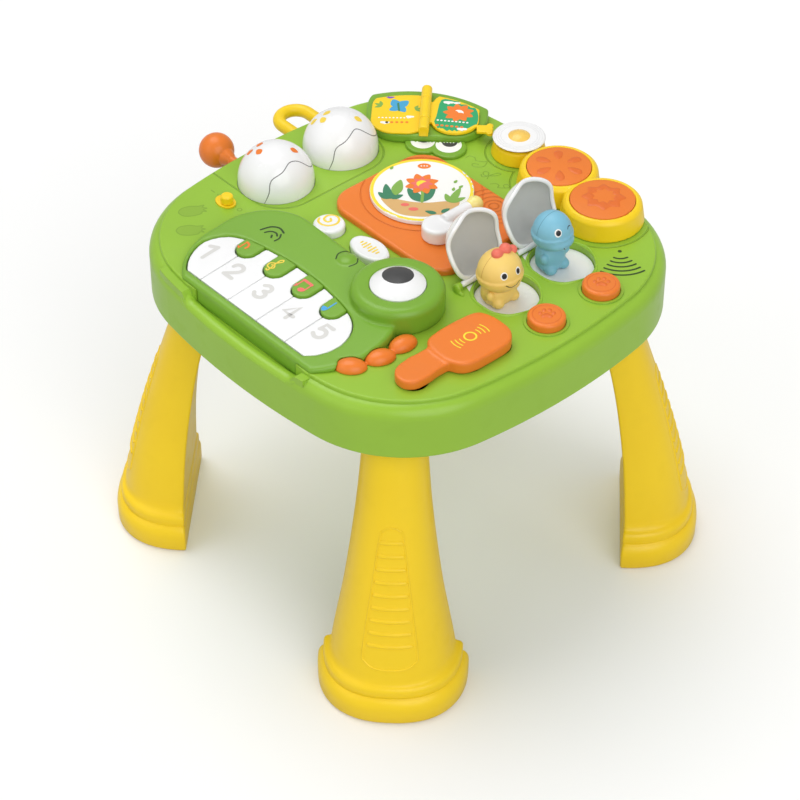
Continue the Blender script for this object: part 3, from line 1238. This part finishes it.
leg_rings = [[Vector((r, t, height)) for r, t in d_ring(*size)] for height, size in rings_up]
leg_points, leg_faces = tube(leg_rings, len(leg_rings[0]))
ladder = []
for n in range(9):
    half = 19.0 - 9.0 * n / 8
    height = 74.0 + 91.0 * n / 8
    ladder.append(ribbon([(-half + 2 + (2 * half - 4) * k / 12, height) for k in range(13)], 3.6))
panel_line = curved([(-22.4, 66.0), (-20.6, 57.4), (-12.6, 52.6), (0, 51.6), (12.6, 52.6), (20.6, 57.4),
                     (22.4, 66.0), (16.0, 118.0), (9.6, 168.0), (6.6, 175.4), (0, 178.0), (-6.6, 175.4),
                     (-9.6, 168.0), (-16.0, 118.0)], True, 8)
for corner, turn in (("front_right", -45), ("rear_right", 45), ("rear_left", 135), ("front_left", -135)):
    swing = Matrix.Rotation(math.radians(turn), 4, "Z")
    stood = on_frame([swing @ p for p in leg_points])
    leg = add_piece(f"leg_form_{corner}", stood, leg_faces, "sun", "table")
    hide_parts(f"leg_{corner}")
    out = swing @ Vector((1, 0, 0))
    sheet = Sheet(out * 330, Vector((-out.y, out.x, 0)), (0, 0, 1))
    front = carrier(leg)
    outline = [ribbon(panel_line, 1.7, True)]
    lay(f"panel_line_{corner}", outline, front, "table", "sun", sheet, rise=0.8, lift=0.0)
    lay(f"ladder_{corner}", ladder, front, "table", "sun", sheet, rise=1.2, lift=0.0)
print("four legs")

# %% [markdown]
# ## Studio
# A pale floor, a big soft lamp overhead and two weak ones give the even light of a catalogue
# picture. The floor adds a little white for the camera only, so that it stays pale and still
# keeps the soft shadow under the table.

# %% Floor, lamps and world
floor_recipe = Recipe("studio_floor")
grain = floor_recipe.noise(40.0, 3.0)
glow = floor_recipe.tree.nodes.new("ShaderNodeEmission")
path = floor_recipe.tree.nodes.new("ShaderNodeLightPath")
camera_ray = Wire(floor_recipe, path.outputs["Is Camera Ray"])
pale = floor_recipe.blend(grain * 0.3, linear(0.975, 0.975, 0.975), linear(0.99, 0.99, 0.99))
floor_recipe.feed({"Base Color": floor_recipe.blend(camera_ray, linear(0.8, 0.8, 0.8), pale), "Roughness": 0.9})
mirror_ray = Wire(floor_recipe, path.outputs["Is Glossy Ray"])
clear_ray = Wire(floor_recipe, path.outputs["Is Transmission Ray"])
joined = floor_recipe.tree.nodes.new("ShaderNodeMixShader")
floor_recipe.put(joined.inputs[0], (camera_ray + mirror_ray + clear_ray).least(1.0) * 0.08)
floor_recipe.tree.links.new(floor_recipe.shader.outputs[0], joined.inputs[1])
floor_recipe.tree.links.new(glow.outputs[0], joined.inputs[2])
floor_recipe.tree.links.new(joined.outputs[0], floor_recipe.end.inputs[0])

floor_mesh = bpy.data.meshes.new("studio_floor")
floor_corners = [(x, y, -0.0005) for x, y in ((-9, -9), (9, -9), (9, 9), (-9, 9))]
floor_mesh.from_pydata(floor_corners, [], [(0, 1, 2, 3)])
floor = bpy.data.objects.new("studio_floor", floor_mesh)
bpy.context.scene.collection.objects.link(floor)
floor_mesh.materials.append(floor_recipe.material)


def far_lamp(name, bearing, height, strength, spread):
    """A lamp so far off that its light is even; spread is its width in degrees."""
    lamp = bpy.data.lights.new(name, "SUN")
    lamp.energy = strength
    lamp.angle = math.radians(spread)
    holder = bpy.data.objects.new(name, lamp)
    bpy.context.scene.collection.objects.link(holder)
    holder.rotation_euler = (math.radians(90 - height), 0.0, math.radians(bearing + 90))
    return holder


far_lamp("key_softbox", 175, 68, 1.3, 45)
far_lamp("camera_side_softbox", -20, 34, 1.15, 50)
far_lamp("piano_side_softbox", -100, 30, 0.35, 50)
world = bpy.data.worlds.new("studio_world")
world.use_nodes = True
sky = world.node_tree.nodes["Background"]
sky.inputs["Color"].default_value = (1.0, 1.0, 1.0, 1)
seen = world.node_tree.nodes.new("ShaderNodeLightPath")
level = world.node_tree.nodes.new("ShaderNodeMapRange")
world.node_tree.links.new(seen.outputs["Is Camera Ray"], level.inputs["Value"])
level.inputs["To Min"].default_value = 0.46
level.inputs["To Max"].default_value = 1.0
world.node_tree.links.new(level.outputs[0], sky.inputs["Strength"])
bpy.context.scene.world = world
print("studio lit")

# %% [markdown]
# ## Camera
# The viewpoint was fitted to the photograph from the table's own outline: 48 degrees round from
# the piano side, 41 degrees up, through a long lens.

# %% Camera at the photograph's angle
lens = bpy.data.cameras.new("photo_camera")
lens.sensor_width = 36.0
lens.lens = 124.67
camera = bpy.data.objects.new("photo_camera", lens)
camera.location = (Vector((1343.2, -1204.6, 1683.7)) + SHIFT) * MM
camera.rotation_euler = (math.radians(90 - 40.72), 0.0, math.radians(48.29))
bpy.context.scene.collection.objects.link(camera)
bpy.context.scene.camera = camera
bpy.context.scene.view_settings.view_transform = "Standard"
print("camera set")
